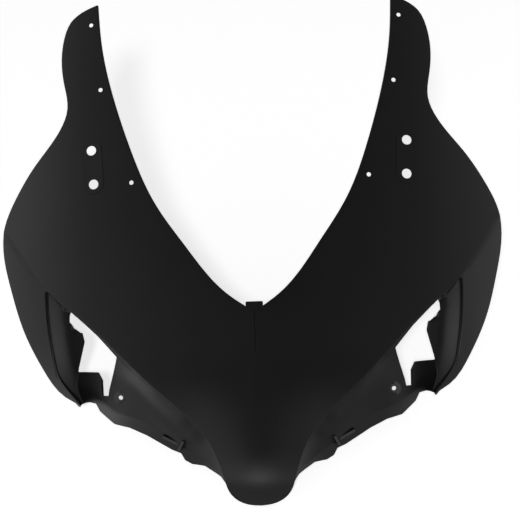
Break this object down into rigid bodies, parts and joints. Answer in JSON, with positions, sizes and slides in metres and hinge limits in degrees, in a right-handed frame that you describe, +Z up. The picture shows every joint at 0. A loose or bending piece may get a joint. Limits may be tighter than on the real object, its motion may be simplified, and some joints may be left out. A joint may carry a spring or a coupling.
{
  "type": "upper fairing",
  "caption": "Moulded motorbike nose shell with swept wings, a V-shaped windscreen edge, mirror pads, sunk headlight pockets and a rounded beak.",
  "frame": {"origin": "front face of the small screen tab, on the centre line, above the bottom of the V", "axes": "+X across the bike, nose towards -Y, +Z up, as fitted on an upright bike"},
  "size_m": [0.4874, 0.4499, 0.33],
  "materials": {
    "black_plastic": "satin black moulded plastic, unpainted"
  },
  "bodies": {
    "root": {"fairing_shell": "black_plastic"}
  },
  "joints": []
}
